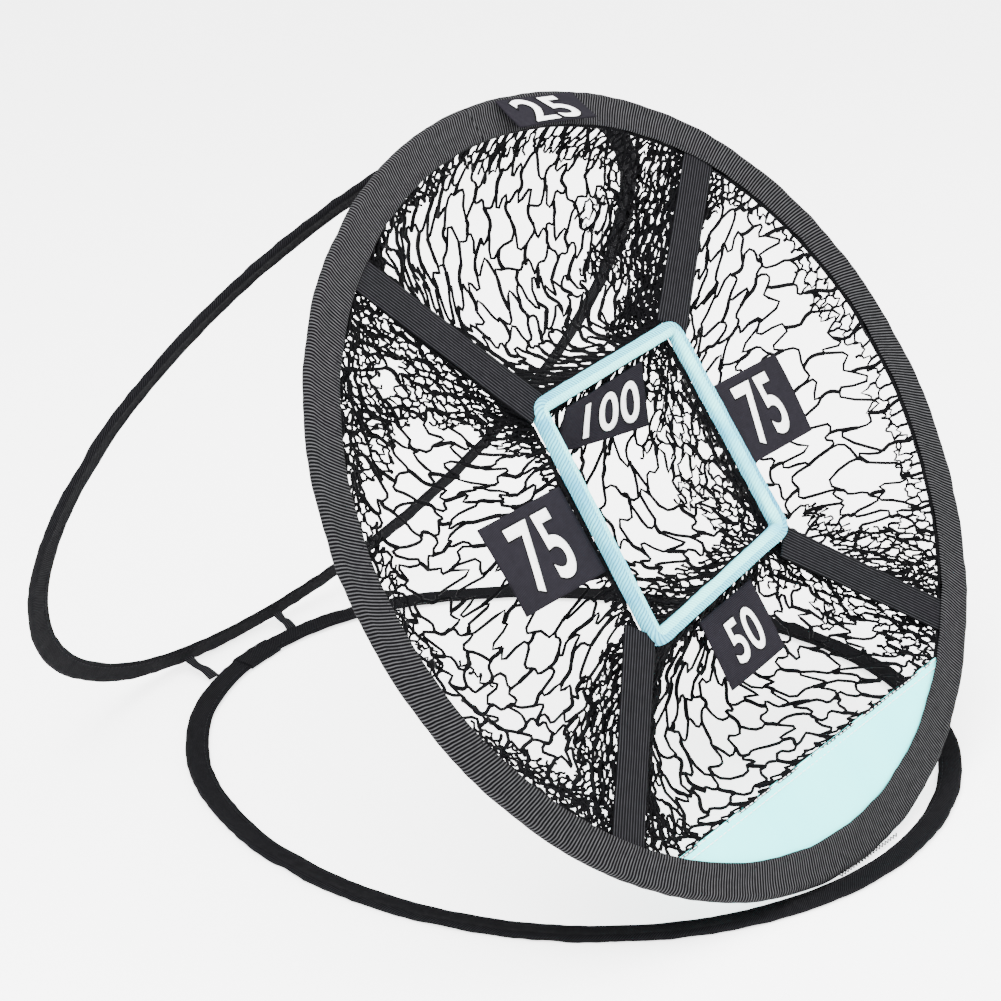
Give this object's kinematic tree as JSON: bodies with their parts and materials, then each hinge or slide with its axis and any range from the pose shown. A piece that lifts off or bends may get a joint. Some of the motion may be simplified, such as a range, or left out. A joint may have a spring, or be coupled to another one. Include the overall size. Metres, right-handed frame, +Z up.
{
  "type": "golf chipping net",
  "caption": "Pop-up golf chipping net: a leaning round target with square centre goal and net pockets, propped on a floor hoop and a folding back hoop.",
  "frame": {"origin": "on the floor, under the middle of the object's bounding box", "axes": "+X to the right seen from the front, +Y to the back, +Z up; the target leans back and faces -Y and up"},
  "size_m": [0.6201, 0.6265, 0.4844],
  "materials": {
    "binding_tape": "ribbed woven polyester binding tape, charcoal, matt",
    "hoop_sleeve": "plain folded polyester sleeve, near black, matt",
    "frame_padding": "ribbed stretch cloth over thin padding, light aqua",
    "panel_cloth": "smooth woven polyester, very pale aqua, slight sheen",
    "webbing": "lengthwise ribbed webbing, near black",
    "tag_cloth": "stiff woven cloth, charcoal grey, with printed white numbers",
    "netting": "knotless black cord netting",
    "thread": "black polyester sewing thread",
    "spring_steel": "round spring steel wire and crimped steel ferrules"
  },
  "bodies": {
    "target": {"target_tape": "binding_tape", "target_spring_wire": "spring_steel", "target_wire_ferrule": "spring_steel", "square_frame_sleeve": "frame_padding", "square_frame_wire": "spring_steel", "square_frame_ferrule": "spring_steel", "strap_upper_left": "webbing", "strap_upper_right": "webbing", "strap_lower_right": "webbing", "strap_lower_left": "webbing", "front_panel": "panel_cloth", "net_pocket_top": "netting", "net_pocket_right": "netting", "net_pocket_bottom": "netting", "net_pocket_left": "netting", "net_pocket_centre": "netting", "front_seam_thread": "thread", "top_seam_thread": "thread"},
    "base_hoop": {"base_sleeve": "hoop_sleeve", "base_spring_wire": "spring_steel", "base_wire_ferrule": "spring_steel", "base_sleeve_join": "hoop_sleeve", "rear_tie_left": "webbing", "rear_tie_right": "webbing"},
    "back_hoop": {"back_sleeve": "hoop_sleeve", "back_spring_wire": "spring_steel", "back_wire_ferrule": "spring_steel", "back_sleeve_join": "hoop_sleeve"},
    "tag_25_body": {"tag_25": "tag_cloth"},
    "tag_50_body": {"tag_50": "tag_cloth"},
    "tag_75_left_body": {"tag_75_left": "tag_cloth"},
    "tag_75_right_body": {"tag_75_right": "tag_cloth"},
    "tag_100_body": {"tag_100": "tag_cloth"}
  },
  "joints": [
    {"name": "base_hoop_fold", "type": "hinge", "parent": "target", "child": "base_hoop", "pos_m": [0, -0.283, 0.008], "axis": [1, 0, 0], "range_deg": [0, 48.7], "deforming": ["net_pocket_top", "net_pocket_right", "net_pocket_bottom", "net_pocket_left", "net_pocket_centre", "rear_tie_left", "rear_tie_right"]},
    {"name": "back_hoop_fold", "type": "hinge", "parent": "target", "child": "back_hoop", "pos_m": [0, 0.07546, 0.47151], "axis": [1, 0, 0], "range_deg": [-58.5, 0]},
    {"name": "tag_25_flap", "type": "hinge", "parent": "target", "child": "tag_25_body", "pos_m": [0.0659, 0.06453, 0.47864], "axis": [0.9877, -0.0948, -0.1244], "range_deg": [-30, 18], "stiffness_Nm_per_rad": 0.06},
    {"name": "tag_50_flap", "type": "hinge", "parent": "target", "child": "tag_50_body", "pos_m": [0.0009, -0.16019, 0.16584], "axis": [0.9925, 0.0738, 0.0969], "range_deg": [-25, 30], "stiffness_Nm_per_rad": 0.06},
    {"name": "tag_75_left_flap", "type": "hinge", "parent": "target", "child": "tag_75_left_body", "pos_m": [-0.0909, -0.10444, 0.23902], "axis": [0.0174, -0.6059, -0.7953], "range_deg": [-25, 30], "stiffness_Nm_per_rad": 0.06},
    {"name": "tag_75_right_flap", "type": "hinge", "parent": "target", "child": "tag_75_right_body", "pos_m": [0.0929, -0.09474, 0.25175], "axis": [-0.0174, 0.6059, 0.7953], "range_deg": [-25, 30], "stiffness_Nm_per_rad": 0.06},
    {"name": "tag_100_flap", "type": "hinge", "parent": "target", "child": "tag_100_body", "pos_m": [-0.0041, -0.05549, 0.30658], "axis": [0.9969, 0.0475, 0.0624], "range_deg": [-30, 25], "stiffness_Nm_per_rad": 0.06}
  ],
  "couplings": [
    {"joint": "back_hoop_fold", "follows": "base_hoop_fold", "ratio": -1.2}
  ]
}
